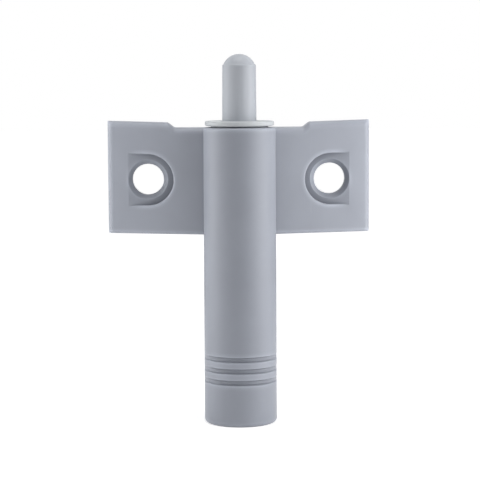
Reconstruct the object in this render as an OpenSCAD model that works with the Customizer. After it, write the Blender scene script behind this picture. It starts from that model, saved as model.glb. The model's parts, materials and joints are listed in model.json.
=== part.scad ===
// Cabinet door damper: a screw-on moulded holder with a push-in hydraulic cartridge.
// The mounting face is the plane Y = 0, the front looks along -Y and the plunger points up, along +Z.
// The origin lies on the mounting face, midway between the two screw holes.

/* [Holder barrel] */
// Bore that takes the cartridge
bore_diameter = 10; // [9.5:0.1:12]
// Wall of the barrel round the bore
barrel_wall = 1.35; // [1:0.05:2]
// Thickness of the barrel's closed end
barrel_floor = 2.2; // [1.6:0.1:4]
// Rounding of the barrel's closed end
barrel_rounding = 0.7; // [0.3:0.1:1.4]
// Distance from the barrel's back to the mounting face
barrel_back_gap = 0.45; // [0.2:0.05:1.5]
// Rise of the barrel's rim over the step in the wings' top edge
rim_rise = 0.15; // [0.05:0.05:0.4]
// Chamfer at the mouth of the bore
mouth_chamfer = 0.3; // [0.1:0.05:0.5]

/* [Holder grip grooves] */
// Number of grip grooves round the front of the barrel
groove_count = 3; // [1:1:5]
// Distance from one groove to the next
groove_pitch = 2; // [1.4:0.1:3]
// Width of a groove
groove_width = 1; // [0.5:0.1:1.2]
// Depth of a groove at the front of the barrel
groove_depth = 0.55; // [0.2:0.05:0.8]
// Height of the lowest groove over the barrel's closed end
groove_start = 7.25; // [3:0.05:12]

/* [Holder wings] */
// Height of a wing at its tip
wing_height = 19.8; // [17:0.1:26]
// Distance from a screw hole to the tip of its wing
tip_margin = 7.1; // [6:0.1:10]
// Thickness of a wing at its tip
wing_tip = 1.8; // [1.5:0.1:2.4]
// Thickness of a wing where it meets the barrel
wing_root = 6.2; // [5.2:0.1:6.6]
// Rounding of a wing's front edges at its top and its tip
wing_rounding = 1.2; // [0.2:0.1:1.4]
// Rounding of a wing's front edge at its foot
foot_rounding = 0.4; // [0.2:0.1:0.8]
// Rise of the top edge from the step to the tip
top_rise = 0.3; // [0.1:0.1:1]
// Depth of the step in the top edge beside the barrel
notch_depth = 0.9; // [0.7:0.05:1.4]
// Distance from the barrel's axis to the foot of that step
notch_reach = 11.3; // [9:0.1:13]
// Width of the slope at the end of that step
notch_slope = 1.2; // [0.6:0.1:2]
// Wall left round the cored pockets at the back
core_wall = 1.5; // [1.2:0.1:2]
// Thickness of the rib between two pockets
core_rib = 1.6; // [1:0.1:2.4]
// Distance from the barrel to the pockets
core_offset = 0.4; // [0.2:0.1:1]

/* [Holder screw holes] */
// Distance between the two screw holes
hole_pitch = 32; // [30:0.5:40]
// Height of the screw holes over the foot of the wings
hole_height = 9.5; // [8:0.1:12]
// Diameter of a screw hole
hole_diameter = 5.5; // [4:0.1:6]
// Width of the countersink where it meets the recess floor
countersink_diameter = 7; // [6.2:0.1:8]
// Width of the recess round a screw head
recess_width = 9; // [8.4:0.1:10]
// Thickness of the wing under the recess
recess_floor = 2.75; // [2.4:0.05:3.4]

/* [Cartridge] */
// Wall of the cartridge sleeve
sleeve_wall = 0.9; // [0.6:0.05:1.1]
// Thickness of the sleeve's closed end
sleeve_floor = 1.2; // [0.8:0.1:2]
// How far the cap's flange reaches past the edge of the bore
flange_reach = 1; // [0.6:0.05:1.3]
// Thickness of the cap's flange
flange_thickness = 0.85; // [0.7:0.05:1.5]
// Chamfer under the flange's rim
flange_chamfer = 0.35; // [0.1:0.05:0.5]
// Gap between the flange and the barrel's rim
flange_gap = 0.25; // [0.1:0.05:0.8]
// Length of the cap's spigot inside the sleeve
spigot_length = 4.5; // [3:0.1:6]

/* [Plunger] */
// Diameter of the plunger at its collar
plunger_diameter = 6; // [5.2:0.1:6.6]
// Draft of the plunger: how much thinner it is at the foot of its dome
plunger_draft = 0.2; // [0.05:0.05:0.4]
// Length of plunger that stands out of the cap
plunger_reach = 11.55; // [10.6:0.05:14]
// Travel of the plunger
plunger_travel = 10.5; // [6:0.1:11]
// Height of the plunger's domed end
dome_height = 2.1; // [1:0.1:2.4]
// Length of the collar that keeps the plunger in the sleeve
collar_length = 2.5; // [1.5:0.1:3.5]
// Solid length at the plunger's end, over the spring chamber
plunger_tip_length = 4.5; // [4:0.1:6]
// Wall of the plunger round the spring chamber
plunger_wall = 0.85; // [0.6:0.05:0.95]
// Depth of the piston rod in the plunger's end
rod_socket = 2; // [1:0.1:2.4]

/* [Return spring] */
// Diameter of the spring wire
wire_diameter = 0.45; // [0.3:0.05:0.5]
// Number of turns of the spring
spring_turns = 18; // [10:1:22]
// Spacing of the closed turn at each end, in wire diameters
end_turn_spacing = 1.15; // [1.05:0.05:1.4]
// Clearance of the spring in its chamber
spring_clearance = 0.15; // [0.1:0.05:0.25]

/* [Hydraulic cylinder] */
// Wall of the oil cylinder
cylinder_wall = 0.8; // [0.6:0.05:1]
// Thickness of the cylinder's closed end
cylinder_floor = 1.2; // [0.8:0.1:2]
// Diameter of the piston rod
rod_diameter = 2; // [1.8:0.1:2.2]
// Diameter of the rod where it holds the piston
rod_neck_diameter = 1.6; // [1.2:0.1:1.7]
// Thickness of the rod guide's flange
guide_flange = 1; // [0.8:0.1:1.4]
// Wall of the rod guide between its ring groove and the seat of the rod seal
guide_web = 0.4; // [0.3:0.05:1]
// Thickness of the ring in the guide's groove
ring_section = 1; // [0.8:0.05:1.1]
// Distance from the guide's flange to the middle of that groove
ring_drop = 1.5; // [1.2:0.1:2]
// Outside diameter of the rod seal
seal_diameter = 4.2; // [3.6:0.1:4.4]
// Height of the rod seal
seal_height = 1.5; // [1.1:0.1:1.6]
// Length of the foam round the rod
foam_length = 6.4; // [4:0.1:10]
// Thickness of the washer that stops the piston
washer_thickness = 1; // [0.8:0.1:1.6]
// Bore of the foam and of the washer that stops the piston
washer_bore = 2.8; // [2.6:0.1:3.4]
// Width of an oil slot in that washer
washer_slot = 0.9; // [0.5:0.1:1.2]
// Length of the piston
piston_length = 3.5; // [3:0.1:4.5]
// Thickness of the piston ring
piston_ring_height = 1.2; // [0.8:0.1:1.5]
// Radial depth of the piston ring's groove
piston_ring_depth = 0.7; // [0.4:0.05:0.8]
// Width of the split in the piston ring
piston_ring_split = 0.4; // [0.2:0.05:0.8]
// Number of oil ports through the piston
port_count = 3; // [2:1:6]
// Diameter of an oil port
port_diameter = 0.7; // [0.4:0.05:0.8]
// Diameter of the disc that closes the ports
disc_diameter = 5; // [4.6:0.1:5.4]
// Thickness of that disc
disc_thickness = 0.3; // [0.2:0.05:0.5]
// Diameter of the push nut on the rod's end
nut_diameter = 3.6; // [3:0.1:4.2]
// Thickness of the push nut
nut_thickness = 0.5; // [0.3:0.05:0.8]
// Width of a slot between the push nut's teeth
nut_slot = 0.35; // [0.2:0.05:0.6]
// Length of rod that stands out under the push nut
rod_end_length = 0.8; // [0.4:0.1:1.5]

/* [Clearances] */
// Radial clearance of a piece that is fitted into another
fit_gap = 0.05; // [0.02:0.01:0.08]
// Radial clearance of a piece that slides in another
slide_gap = 0.08; // [0.05:0.01:0.1]
// Gap at a stop that a moving piece rests against
stop_gap = 0.1; // [0.05:0.01:0.2]
// Gap left under a moving piece at the end of its travel
end_gap = 0.8; // [0.4:0.1:1.2]

/* [Hidden] */
$fn = 64;

// How far a cutting shape runs past the face that it opens
past = 1;
// Steps in a rounded edge of an outline
round_steps = 6;

// Holder
bore_r = bore_diameter / 2;
barrel_r = bore_r + barrel_wall;
axis_height = barrel_r + barrel_back_gap;
hole_x = hole_pitch / 2;
recess_r = recess_width / 2;
wing_half = hole_x + tip_margin;
wing_bottom = -hole_height;
step_top = wing_bottom + wing_height - top_rise;
step_end = notch_reach + notch_slope;
notch_top = step_top - notch_depth;
barrel_top = notch_top + rim_rise;
face_run = wing_half - barrel_r;
face_drop = wing_root - wing_tip;
face_angle = atan2(face_drop, face_run);
top_angle = atan2(top_rise * cos(face_angle), wing_half - step_end);
core_inner = barrel_r + core_offset;
core_outer = hole_x - recess_r - core_wall;

// Cartridge, from the mouth down
sleeve_r = bore_r - fit_gap;
sleeve_bore_r = sleeve_r - sleeve_wall;
sleeve_top = barrel_top + flange_gap;
flange_top = sleeve_top + flange_thickness;
flange_r = bore_r + flange_reach;
spigot_bottom = sleeve_top - spigot_length;
plunger_r = plunger_diameter / 2;
plunger_top = flange_top + plunger_reach;
dome_foot_r = plunger_r - plunger_draft / 2;
dome_radius = (pow(dome_foot_r, 2) + pow(dome_height, 2)) / (2 * dome_height);
chamber_r = plunger_r - plunger_wall;
chamber_top = plunger_top - plunger_tip_length;
collar_r = sleeve_bore_r - slide_gap;
collar_top = spigot_bottom - stop_gap;
collar_bottom = collar_top - collar_length;
rod_r = rod_diameter / 2;
neck_r = rod_neck_diameter / 2;
rod_top = chamber_top + rod_socket;

// Hydraulic cylinder, from the plunger's lowest point down to the end of the barrel
guide_top = collar_bottom - plunger_travel - end_gap;
cylinder_top = guide_top - guide_flange;
ring_middle = cylinder_top - ring_drop;
ring_groove_half = ring_section / 2 + 2 * fit_gap;
seat_top = ring_middle - ring_groove_half - guide_web;
guide_bottom = seat_top - seal_height;
foam_top = guide_bottom - fit_gap;
foam_bottom = foam_top - foam_length;
washer_bottom = foam_bottom - washer_thickness;
piston_top = washer_bottom - stop_gap;
piston_bottom = piston_top - piston_length;
disc_bottom = piston_bottom - disc_thickness;
nut_bottom = disc_bottom - nut_thickness;
rod_bottom = nut_bottom - rod_end_length;
oil_floor = rod_bottom - plunger_travel - end_gap;
cylinder_bottom = oil_floor - cylinder_floor;
bore_bottom = cylinder_bottom - sleeve_floor;
barrel_bottom = bore_bottom - barrel_floor;
cylinder_r = sleeve_bore_r - fit_gap;
cylinder_bore_r = cylinder_r - cylinder_wall;
piston_r = cylinder_bore_r - slide_gap;
piston_groove_r = piston_r - piston_ring_depth;
port_ring_r = (neck_r + piston_groove_r) / 2;

// Thickness of a wing, over the mounting face, at a distance from the barrel's axis
function face_height(x) = wing_root - (x - barrel_r) * face_drop / face_run;

// Points of a round stretch of an outline
function arc(centre, radius, from, to, steps = round_steps) =
    [for (i = [0 : steps]) let (a = from + (to - from) * i / steps) centre + radius * [cos(a), sin(a)]];

// Places its children on the axis that the barrel and the cartridge share
module on_axis(z = 0) {
    translate([0, -axis_height, z]) children();
}

// Tube, or a disc with a hole, that stands on the axis between two heights
module ring(outer, inner, bottom, top) {
    on_axis(bottom) difference() {
        cylinder(r = outer, h = top - bottom);
        translate([0, 0, -past]) cylinder(r = inner, h = top - bottom + 2 * past);
    }
}

// Cup with a closed bottom and a round hollow
module cup(outer, inner, bottom, top, floor_thickness) {
    on_axis(bottom) difference() {
        cylinder(r = outer, h = top - bottom);
        translate([0, 0, floor_thickness]) cylinder(r = inner, h = top - bottom);
    }
}

// Outline of a wing seen from above: a wedge from the barrel's axis to a rounded tip
module wing_plan() {
    tip_centre = [wing_half - wing_rounding,
                  -wing_tip + wing_rounding * (1 - sin(face_angle)) / cos(face_angle)];
    polygon(concat(
        [[0, 0], [0, -face_height(0)]],
        arc(tip_centre, wing_rounding, face_angle - 90, 0),
        [[wing_half, 0]]));
}

// Places its children on a wing's front face at a height: X runs along the slope, Y into the wing and Z up
module on_face(z) {
    translate([barrel_r, -wing_root, z]) rotate([0, 0, face_angle]) children();
}

// Long bar along X below the plane Z = 0, with a rounded edge that runs out through the plane Y = 0
module edge_bar(rounding) {
    size = wing_half + wing_height;
    chord = 90 / round_steps;
    run_out = rounding + past / tan(chord / 2);
    rotate([90, 0, 90]) translate([0, 0, -size]) linear_extrude(2 * size) polygon(concat(
        [[size, -size], [size, 0]],
        arc([rounding, -rounding], rounding, 90, 180 - chord, round_steps - 1),
        [[-past, -run_out], [-past, -size]]));
}

// Front outline of the part of a wing that is taller than the barrel, with its sloping step
module tall_outline() {
    function step_x(z) = notch_reach + (z - notch_top) * notch_slope / notch_depth;
    low = notch_top - wing_rounding;
    high = step_top + top_rise + past;
    polygon([[step_x(low), wing_bottom - past], [step_x(low), low], [step_x(high), high],
             [wing_half + past, high], [wing_half + past, wing_bottom - past]]);
}

// Wing: a wedge with rounded front edges and a step in its top edge
module wing() {
    intersection() {
        translate([0, 0, wing_bottom - past]) linear_extrude(wing_height + 2 * past) wing_plan();
        on_face(wing_bottom) mirror([0, 0, 1]) edge_bar(foot_rounding);
        union() {
            on_face(notch_top) edge_bar(wing_rounding);
            intersection() {
                on_face(step_top) translate([(step_end - barrel_r) / cos(face_angle), 0, 0])
                    rotate([0, -top_angle, 0]) edge_bar(wing_rounding);
                translate([0, past, 0]) rotate([90, 0, 0])
                    linear_extrude(wing_root + 2 * past) tall_outline();
            }
        }
    }
}

// Barrel: a turned outline with a rounded closed end
module barrel() {
    on_axis(barrel_bottom) rotate([0, 0, 90]) rotate_extrude() {
        height = barrel_top - barrel_bottom;
        polygon(concat(
            [[0, 0]],
            arc([barrel_r - barrel_rounding, barrel_rounding], barrel_rounding, -90, 0),
            [[barrel_r, height], [0, height]]));
    }
}

// Space of the cartridge, with a chamfered mouth
module bore_space() {
    on_axis(bore_bottom) cylinder(r = bore_r, h = barrel_top - bore_bottom + past);
    on_axis(barrel_top - mouth_chamfer)
        cylinder(r1 = bore_r, r2 = bore_r + mouth_chamfer + past, h = mouth_chamfer + past);
}

// Screw hole, its countersink and the recess that lets the head lie flat on a sloping wing
module screw_space() {
    sink_depth = (countersink_diameter - hole_diameter) / 2;
    reach = wing_root + past;
    translate([hole_x, past, 0]) rotate([90, 0, 0]) {
        cylinder(d = hole_diameter, h = reach);
        translate([0, 0, past + recess_floor - sink_depth])
            cylinder(d1 = hole_diameter, d2 = countersink_diameter, h = sink_depth);
        translate([0, 0, past + recess_floor]) linear_extrude(reach) {
            circle(d = recess_width);
            translate([0, -recess_r]) square([wing_half, recess_width]);
        }
    }
}

// Pockets that core out the thick root of a wing from the back
module core_space() {
    inner_depth = face_height(core_inner) - core_wall / cos(face_angle);
    outer_depth = face_height(core_outer) - core_wall / cos(face_angle);
    middle = (wing_bottom + notch_top) / 2;
    spans = [[wing_bottom + core_wall, middle - core_rib / 2],
             [middle + core_rib / 2, notch_top - core_wall]];
    for (span = spans)
        translate([0, 0, span[0]]) linear_extrude(span[1] - span[0])
            polygon([[core_inner, past], [core_inner, -inner_depth],
                     [core_outer, -outer_depth], [core_outer, past]]);
}

// Grip groove: deepest at the front of the barrel, and run out to nothing at its sides
module groove_space() {
    difference() {
        cylinder(r = barrel_r + past, h = groove_width);
        translate([0, groove_depth, -past]) cylinder(r = barrel_r, h = groove_width + 2 * past);
    }
}

module holder() {
    color("#9699a2") difference() {
        union() {
            barrel();
            wing();
            mirror([1, 0, 0]) wing();
        }
        bore_space();
        for (side = [0, 1]) mirror([side, 0, 0]) {
            screw_space();
            core_space();
        }
        for (i = [0 : groove_count - 1])
            on_axis(barrel_bottom + groove_start + i * groove_pitch) groove_space();
    }
}

// Cup that holds the hydraulic cylinder and guides the plunger's collar
module sleeve() {
    color("#8d9098") cup(sleeve_r, sleeve_bore_r, bore_bottom, sleeve_top, sleeve_floor);
}

// Cap that closes the sleeve and guides the plunger
module flange_cap() {
    spigot_r = sleeve_bore_r - fit_gap;
    guide_r = plunger_r + slide_gap;
    color("#b4b7be") on_axis() rotate_extrude() polygon([
        [guide_r, spigot_bottom], [spigot_r, spigot_bottom],
        [spigot_r, sleeve_top], [flange_r - flange_chamfer, sleeve_top],
        [flange_r, sleeve_top + flange_chamfer], [flange_r, flange_top],
        [guide_r, flange_top]]);
}

// Tapered bar with a domed end, from the plunger's collar to its top
module plunger_bar() {
    dome_centre = plunger_top - dome_radius;
    length = plunger_top - collar_bottom;
    taper = (plunger_r - dome_foot_r) / (length - dome_height);
    intersection() {
        on_axis(collar_bottom)
            cylinder(r1 = plunger_r, r2 = plunger_r - taper * (length + past), h = length + past);
        union() {
            on_axis(dome_centre) sphere(r = dome_radius);
            on_axis(collar_bottom - past)
                cylinder(r = (plunger_r + dome_radius) / 2, h = dome_centre - collar_bottom + past);
        }
    }
}

// Hollow plunger with a domed end and a collar that keeps it in the sleeve
module plunger() {
    color("#aeb1b9") difference() {
        union() {
            on_axis(collar_bottom) cylinder(r = collar_r, h = collar_length);
            plunger_bar();
        }
        on_axis(collar_bottom - past) cylinder(r = chamber_r, h = chamber_top - collar_bottom + past);
        on_axis(chamber_top - past) cylinder(r = rod_r, h = rod_socket + past);
    }
}

// Compression spring round the piston rod, with a closed turn at each end
module return_spring() {
    steps_per_turn = 16;
    sides = 6;
    closed_pitch = end_turn_spacing * wire_diameter;
    wire_r = wire_diameter / 2;
    coil_r = chamber_r - spring_clearance - wire_r;
    bottom = guide_top + wire_r + stop_gap;
    top = chamber_top - wire_r - stop_gap;
    open_pitch = (top - bottom - 2 * closed_pitch) / (spring_turns - 2);
    function height(turn) = bottom + (
        turn < 1 ? turn * closed_pitch
        : turn < spring_turns - 1 ? closed_pitch + (turn - 1) * open_pitch
        : top - bottom - (spring_turns - turn) * closed_pitch);
    rings = spring_turns * steps_per_turn;
    points = [for (i = [0 : rings]) for (j = [0 : sides - 1])
        let (a = 360 * i / steps_per_turn, b = 360 * j / sides, r = coil_r + wire_r * cos(b))
        [r * cos(a), r * sin(a), height(i / steps_per_turn) + wire_r * sin(b)]];
    walls = [for (i = [0 : rings - 1]) for (j = [0 : sides - 1])
        let (k = (j + 1) % sides)
        [i * sides + j, (i + 1) * sides + j, (i + 1) * sides + k, i * sides + k]];
    first_end = [for (j = [0 : sides - 1]) j];
    last_end = [for (j = [sides - 1 : -1 : 0]) rings * sides + j];
    color("#b9bcc0") on_axis() polyhedron(points, concat(walls, [first_end, last_end]), convexity = 20);
}

// Steel rod from the plunger's end to the piston, with a neck that holds the piston
module piston_rod() {
    color("#c4c6c8") {
        on_axis(piston_top) cylinder(r = rod_r, h = rod_top - piston_top);
        on_axis(rod_bottom) cylinder(r = neck_r, h = piston_top - rod_bottom);
    }
}

// Oil cylinder, which stands on the sleeve's floor
module cylinder_tube() {
    color("#d9d9d4") cup(cylinder_r, cylinder_bore_r, cylinder_bottom, cylinder_top, cylinder_floor);
}

// Bush that closes the cylinder and guides the rod, with a ring groove and a seat for the rod seal
module rod_guide() {
    body_r = cylinder_bore_r - fit_gap;
    groove_r = body_r - ring_section - fit_gap;
    hole_r = rod_r + slide_gap;
    seat_r = seal_diameter / 2;
    color("#e4e2da") on_axis() rotate_extrude() polygon([
        [hole_r, guide_top], [hole_r, seat_top], [seat_r, seat_top], [seat_r, guide_bottom],
        [body_r, guide_bottom], [body_r, ring_middle - ring_groove_half],
        [groove_r, ring_middle - ring_groove_half], [groove_r, ring_middle + ring_groove_half],
        [body_r, ring_middle + ring_groove_half], [body_r, cylinder_top],
        [cylinder_r, cylinder_top], [cylinder_r, guide_top]]);
}

// Ring that seals the guide in the cylinder
module guide_o_ring() {
    middle_r = cylinder_bore_r - fit_gap - ring_section / 2;
    color("#232325") on_axis(ring_middle) rotate_extrude()
        translate([middle_r, 0]) circle(d = ring_section);
}

// Lip seal on the rod: its lip reaches the rod, and the rest stands back from it
module rod_seal() {
    outer_r = seal_diameter / 2 - fit_gap;
    lip_r = rod_r + slide_gap;
    back_r = (lip_r + outer_r) / 2;
    heel = seal_height / 2;
    color("#2b2b2e") on_axis(guide_bottom) rotate_extrude() polygon([
        [lip_r, seal_height], [outer_r, seal_height], [outer_r, 0], [back_r, heel / 2],
        [lip_r, 0], [lip_r, heel / 2], [back_r, heel], [lip_r, heel + heel / 2]]);
}

// Foam that takes up the oil which the rod displaces
module compensator_foam() {
    color("#d8c79a") ring(cylinder_bore_r - fit_gap, washer_bore / 2, foam_bottom, foam_top);
}

// Washer that stops the piston and lets oil through to the foam
module stop_washer() {
    slot_reach = (washer_bore / 2 + cylinder_bore_r) / 2;
    color("#e4e2da") difference() {
        ring(cylinder_bore_r - fit_gap, washer_bore / 2, washer_bottom, foam_bottom);
        for (i = [0 : port_count - 1])
            on_axis(washer_bottom - past) rotate([0, 0, 360 * i / port_count])
                translate([0, -washer_slot / 2, 0])
                    cube([slot_reach, washer_slot, washer_thickness + 2 * past]);
    }
}

// Piston with oil ports and a groove for its ring
module piston() {
    groove_height = piston_ring_height + 2 * fit_gap;
    color("#dcdad0") difference() {
        ring(piston_r, neck_r, piston_bottom, piston_top);
        ring(piston_r + past, piston_groove_r, (piston_bottom + piston_top - groove_height) / 2,
             (piston_bottom + piston_top + groove_height) / 2);
        for (i = [0 : port_count - 1])
            on_axis(piston_bottom - past) rotate([0, 0, 360 * i / port_count])
                translate([port_ring_r, 0, 0]) cylinder(d = port_diameter, h = piston_length + 2 * past);
    }
}

// Split ring between the piston and the cylinder
module piston_ring() {
    bottom = (piston_bottom + piston_top - piston_ring_height) / 2;
    color("#3a3a3d") difference() {
        ring(cylinder_bore_r - fit_gap, piston_groove_r + fit_gap, bottom, bottom + piston_ring_height);
        on_axis(bottom - past) translate([0, -piston_ring_split / 2, 0])
            cube([cylinder_r, piston_ring_split, piston_ring_height + 2 * past]);
    }
}

// Disc that closes the ports as the plunger is pushed in
module check_disc() {
    color("#c4c6c8") ring(disc_diameter / 2, neck_r + fit_gap, disc_bottom, piston_bottom);
}

// Push nut that holds the piston and its disc on the rod, with slots between its teeth
module push_nut() {
    slot_reach = (neck_r + nut_diameter / 2) / 2;
    color("#a9abae") difference() {
        ring(nut_diameter / 2, neck_r, nut_bottom, disc_bottom);
        for (turn = [0, 90])
            on_axis(nut_bottom - past) rotate([0, 0, turn]) translate([-slot_reach, -nut_slot / 2, 0])
                cube([2 * slot_reach, nut_slot, nut_thickness + 2 * past]);
    }
}

holder();
sleeve();
flange_cap();
plunger();
return_spring();
piston_rod();
cylinder_tube();
rod_guide();
guide_o_ring();
rod_seal();
compensator_foam();
stop_washer();
piston();
piston_ring();
check_disc();
push_nut();
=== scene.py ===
"""Looks of a cabinet door damper: its moulded holder, its cartridge and the stage it stands on."""

import json
import math

import bmesh
import bpy
from bpy.props import FloatProperty, FloatVectorProperty, IntProperty, PointerProperty
from mathutils import Matrix, Quaternion, Vector


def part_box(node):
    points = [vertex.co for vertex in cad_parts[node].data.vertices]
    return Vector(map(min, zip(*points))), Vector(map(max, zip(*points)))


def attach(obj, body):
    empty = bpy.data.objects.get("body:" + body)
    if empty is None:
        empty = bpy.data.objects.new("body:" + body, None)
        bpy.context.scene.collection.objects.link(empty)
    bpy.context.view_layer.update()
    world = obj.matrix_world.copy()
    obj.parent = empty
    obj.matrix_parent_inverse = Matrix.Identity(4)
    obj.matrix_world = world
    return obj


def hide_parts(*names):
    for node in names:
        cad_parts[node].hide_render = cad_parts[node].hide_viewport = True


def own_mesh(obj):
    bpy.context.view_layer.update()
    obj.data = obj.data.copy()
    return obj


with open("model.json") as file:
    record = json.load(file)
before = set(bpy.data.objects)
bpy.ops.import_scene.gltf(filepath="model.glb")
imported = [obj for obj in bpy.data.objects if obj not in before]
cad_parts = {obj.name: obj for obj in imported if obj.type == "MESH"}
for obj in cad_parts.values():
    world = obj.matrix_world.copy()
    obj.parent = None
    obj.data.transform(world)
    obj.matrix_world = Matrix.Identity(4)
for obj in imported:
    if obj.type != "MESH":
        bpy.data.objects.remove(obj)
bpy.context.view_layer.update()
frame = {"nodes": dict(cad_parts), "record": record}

bl_info = {
    "name": "Cabinet door damper",
    "version": (1, 0, 0),
    "blender": (4, 5, 0),
    "location": "View3D > Sidebar > Damper",
    "description": "Builds the visible pieces, finishes and stage of a screw-on cabinet door damper",
    "category": "Object",
}

# Units: the scene is in metres, and sizes below are written in millimetres
MM = 0.001

# How far a cutting shape stands out past what it cuts, and how close two vertices become one
PAST = 1.0 * MM
WELD = 0.0005 * MM

# Steps of the meshes: round a corner, along the dome, round a recess, round a turned piece, across the side
# of a groove, round the spring's wire, along one turn of it, and on the foam tube
ROUND_STEPS = 6
DOME_STEPS = 14
RECESS_STEPS = 40
TURN_SEGMENTS = 128
GROOVE_SIDE_ROWS = 6
WIRE_POINTS = 12
COIL_POINTS = 32
FOAM_POINTS = 96
FOAM_CORNER_POINTS = 4
FOAM_STEP = 0.12 * MM

# Bends that are shaded as corners: on most pieces, and on the plunger, whose crease is a faint one
SHARP_ANGLE = math.radians(38)
CREASE_ANGLE = math.radians(17)

# Kinds and settings of nodes that repeat: most of a noise lies between two values, and a colour is tinted by
# a factor
MATH = "ShaderNodeMath"
VECTOR_MATH = "ShaderNodeVectorMath"
NOISE = {"From Min": 0.3, "From Max": 0.7}
TINTED = {"data_type": "RGBA", "blend_type": "MULTIPLY"}


def linear(code):
    """Linear colour, with alpha, of an sRGB hex code such as 9A9EA8."""
    channels = [int(code[i:i + 2], 16) / 255 for i in (0, 2, 4)]
    return tuple(c / 12.92 if c <= 0.04045 else ((c + 0.055) / 1.055) ** 2.4 for c in channels) + (1.0,)


# Places that the packed solids give
HOLDER_LOW, HOLDER_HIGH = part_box("holder")
SLEEVE_LOW, SLEEVE_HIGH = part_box("sleeve")
CAP_LOW, CAP_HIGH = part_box("flange_cap")
PLUNGER_LOW, PLUNGER_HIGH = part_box("plunger")
SPRING_LOW, SPRING_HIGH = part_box("return_spring")
FOAM_LOW, FOAM_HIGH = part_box("compensator_foam")
AXIS_Y = (PLUNGER_LOW.y + PLUNGER_HIGH.y) / 2
MOUNTS = {mount["name"]: mount for mount in frame["record"]["mounts"]}
HOLE = MOUNTS["right_screw_hole"]
HOLE_X = HOLE["pos_m"][0]

# How the sleeve sits in the barrel: the gap round it, and how far it stands out
SLEEVE_GAP = 0.05 * MM
SLEEVE_RISE = 0.25 * MM

# Middle of the object, round which the lamps and cards stand, and half the width of the floor
STAGE_MIDDLE = Vector((0, AXIS_Y, -10 * MM))
FLOOR_HALF = 1.5


def length(name, description, default):
    """A size in metres that a user may change."""
    return FloatProperty(name=name, description=description, default=default, unit="LENGTH", precision=5)


def colour(name, description, code):
    """A colour that a user may change, from its sRGB hex code."""
    return FloatVectorProperty(name=name, description=description, default=linear(code), size=4,
                               subtype="COLOR", min=0, max=1)


class HolderSizes(bpy.types.PropertyGroup):
    """Sizes of the moulded holder"""
    barrel_radius: length("Barrel radius", "Outside of the barrel at its closed end", AXIS_Y - HOLDER_LOW.y)
    barrel_draft: length("Barrel draft", "How much narrower the barrel's radius is at its rim", 0.08 * MM)
    bore_radius: length("Bore radius", "Inside of the barrel", SLEEVE_HIGH.x + SLEEVE_GAP)
    rim_height: length("Rim height", "Top of the barrel", SLEEVE_HIGH.z - SLEEVE_RISE)
    rim_rounding: length("Rim rounding", "Rounding of the barrel's outer rim", 0.45 * MM)
    mouth_chamfer: length("Mouth chamfer", "Chamfer at the mouth of the bore", 0.3 * MM)
    end_rounding: length("End rounding", "Rounding of the barrel's closed end", 0.7 * MM)
    groove_count: IntProperty(name="Grooves", description="Number of grip grooves", default=3, min=1)
    groove_start: length("Groove start", "Height of the lowest groove over the closed end", 7.25 * MM)
    groove_pitch: length("Groove pitch", "Distance from one groove to the next", 2.0 * MM)
    groove_width: length("Groove width", "Width of a groove", 1.0 * MM)
    groove_depth: length("Groove depth", "Depth of a groove at the front", 0.55 * MM)
    groove_edge: length("Groove edge", "Width of a groove's rounded side", 0.24 * MM)
    wing_bottom: length("Wing bottom", "Foot of the wings", -9.5 * MM)
    wing_root: length("Wing root", "Thickness of a wing at the barrel", 6.2 * MM)
    wing_tip: length("Wing tip", "Thickness of a wing at its tip", 1.8 * MM)
    wing_rounding: length("Wing rounding", "Rounding of a wing's top and tip edges", 1.2 * MM)
    foot_rounding: length("Foot rounding", "Rounding of a wing's lower front edge", 0.4 * MM)
    back_rounding: length("Back rounding", "Rounding of a wing's edges at the mounting face", 0.12 * MM)
    notch_top: length("Notch top", "Height of the top edge beside the barrel", 9.1 * MM)
    step_top: length("Step top", "Height of the top edge beside the step", 10.0 * MM)
    step_reach: length("Step reach", "Distance from the axis to the foot of the step", 11.3 * MM)
    step_slope: length("Step slope", "Width of the step's slope", 1.2 * MM)
    step_rounding: length("Step rounding", "Rounding of the step's corners", 0.8 * MM)
    recess_radius: length("Recess radius", "Round end of a screw recess", 4.5 * MM)
    recess_floor: length("Recess floor", "Thickness of a wing under a screw recess", 2.75 * MM)
    recess_rim: length("Recess rim", "Rounding of a screw recess's rim", 0.25 * MM)
    sink_radius: length("Countersink radius", "Countersink at the recess floor", 3.5 * MM)
    core_inner: length("Pocket start", "Distance from the axis to the pockets at the back", 6.75 * MM)
    core_wall: length("Pocket wall", "Wall left round the pockets", 1.5 * MM)
    core_rib: length("Pocket rib", "Rib between two pockets", 1.6 * MM)
    core_rounding: length("Pocket rounding", "Rounding of a pocket's corners", 0.4 * MM)


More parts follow.
